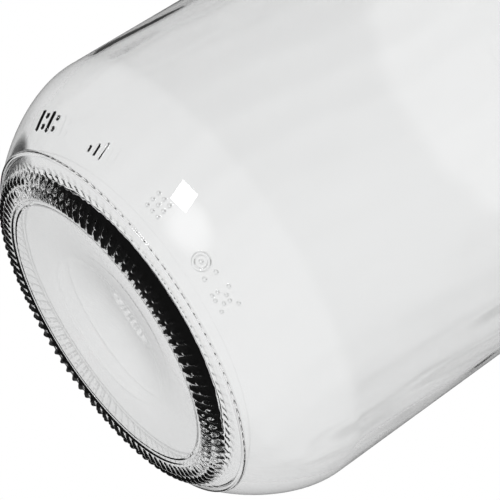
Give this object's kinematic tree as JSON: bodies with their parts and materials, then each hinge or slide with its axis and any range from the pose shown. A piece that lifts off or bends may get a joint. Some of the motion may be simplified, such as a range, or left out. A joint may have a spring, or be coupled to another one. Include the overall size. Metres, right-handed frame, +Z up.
{
  "type": "bottle",
  "caption": "Large round clear glass milk bottle with a ribbed base, a domed shoulder, a short neck and a hinged wire swing-top closure with a stopper and gasket.",
  "frame": {"origin": "middle of the base, on the plane that the base ribs stand on", "axes": "+Z up along the bottle's axis, -Y towards the front, where the closed thumb lever lies, X along the closure's pivots"},
  "size_m": [0.15, 0.15, 0.3145],
  "materials": {
    "glass": "clear polished flint glass",
    "wire": "bright drawn steel wire",
    "porcelain": "opaque white glazed porcelain",
    "gasket_rubber": "matt red rubber"
  },
  "bodies": {
    "bottle": {"glass_bottle": "glass", "neck_wire": "wire"},
    "lever": {"lever_wire": "wire"},
    "bail": {"bail_wire": "wire"},
    "cap": {"stopper": "porcelain", "gasket": "gasket_rubber"}
  },
  "joints": [
    {"name": "lever_pivot", "type": "hinge", "parent": "bottle", "child": "lever", "pos_m": [0, 0, 0.27973], "axis": [-1, 0, 0], "range_deg": [0, 150]},
    {"name": "bail_pivot", "type": "hinge", "parent": "lever", "child": "bail", "pos_m": [0, 0, 0.27073], "axis": [-1, 0, 0], "range_deg": [-111.5, 0]},
    {"name": "stopper_pivot", "type": "hinge", "parent": "bail", "child": "cap", "pos_m": [0, 0, 0.30573], "axis": [-1, 0, 0], "range_deg": [-38.6, 0]}
  ],
  "couplings": [
    {"joint": "bail_pivot", "follows": "lever_pivot", "ratio": -0.74286},
    {"joint": "stopper_pivot", "follows": "lever_pivot", "ratio": -0.25714}
  ]
}
